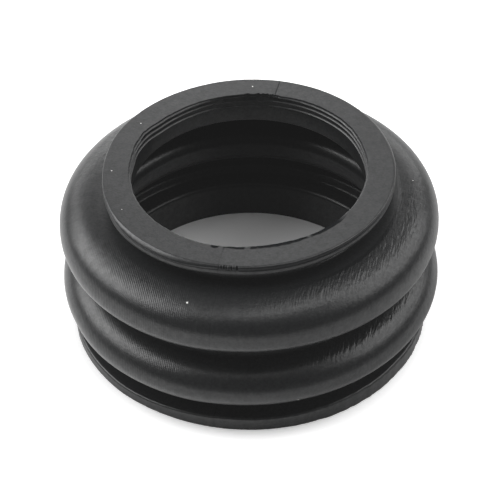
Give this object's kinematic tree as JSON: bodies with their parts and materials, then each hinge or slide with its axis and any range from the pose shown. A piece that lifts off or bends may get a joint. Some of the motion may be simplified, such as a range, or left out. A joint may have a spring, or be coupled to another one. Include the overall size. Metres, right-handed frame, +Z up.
{
  "type": "ball joint boot",
  "caption": "Round black rubber bellows boot with a flat collar round its wide upper mouth, bulging convolutions and a clip groove above its foot flange.",
  "frame": {"origin": "centre of the foot's flat seat, where the turning axis meets the surface that the boot stands on", "axes": "+Z up along the turning axis, from the foot flange to the collar; X and Y are free, because the boot is round, and -Y faces the viewer of the picture"},
  "size_m": [0.0568, 0.0568, 0.027],
  "materials": {
    "rubber": "satin moulded black rubber"
  },
  "bodies": {
    "root": {"boot": "rubber"}
  },
  "joints": []
}
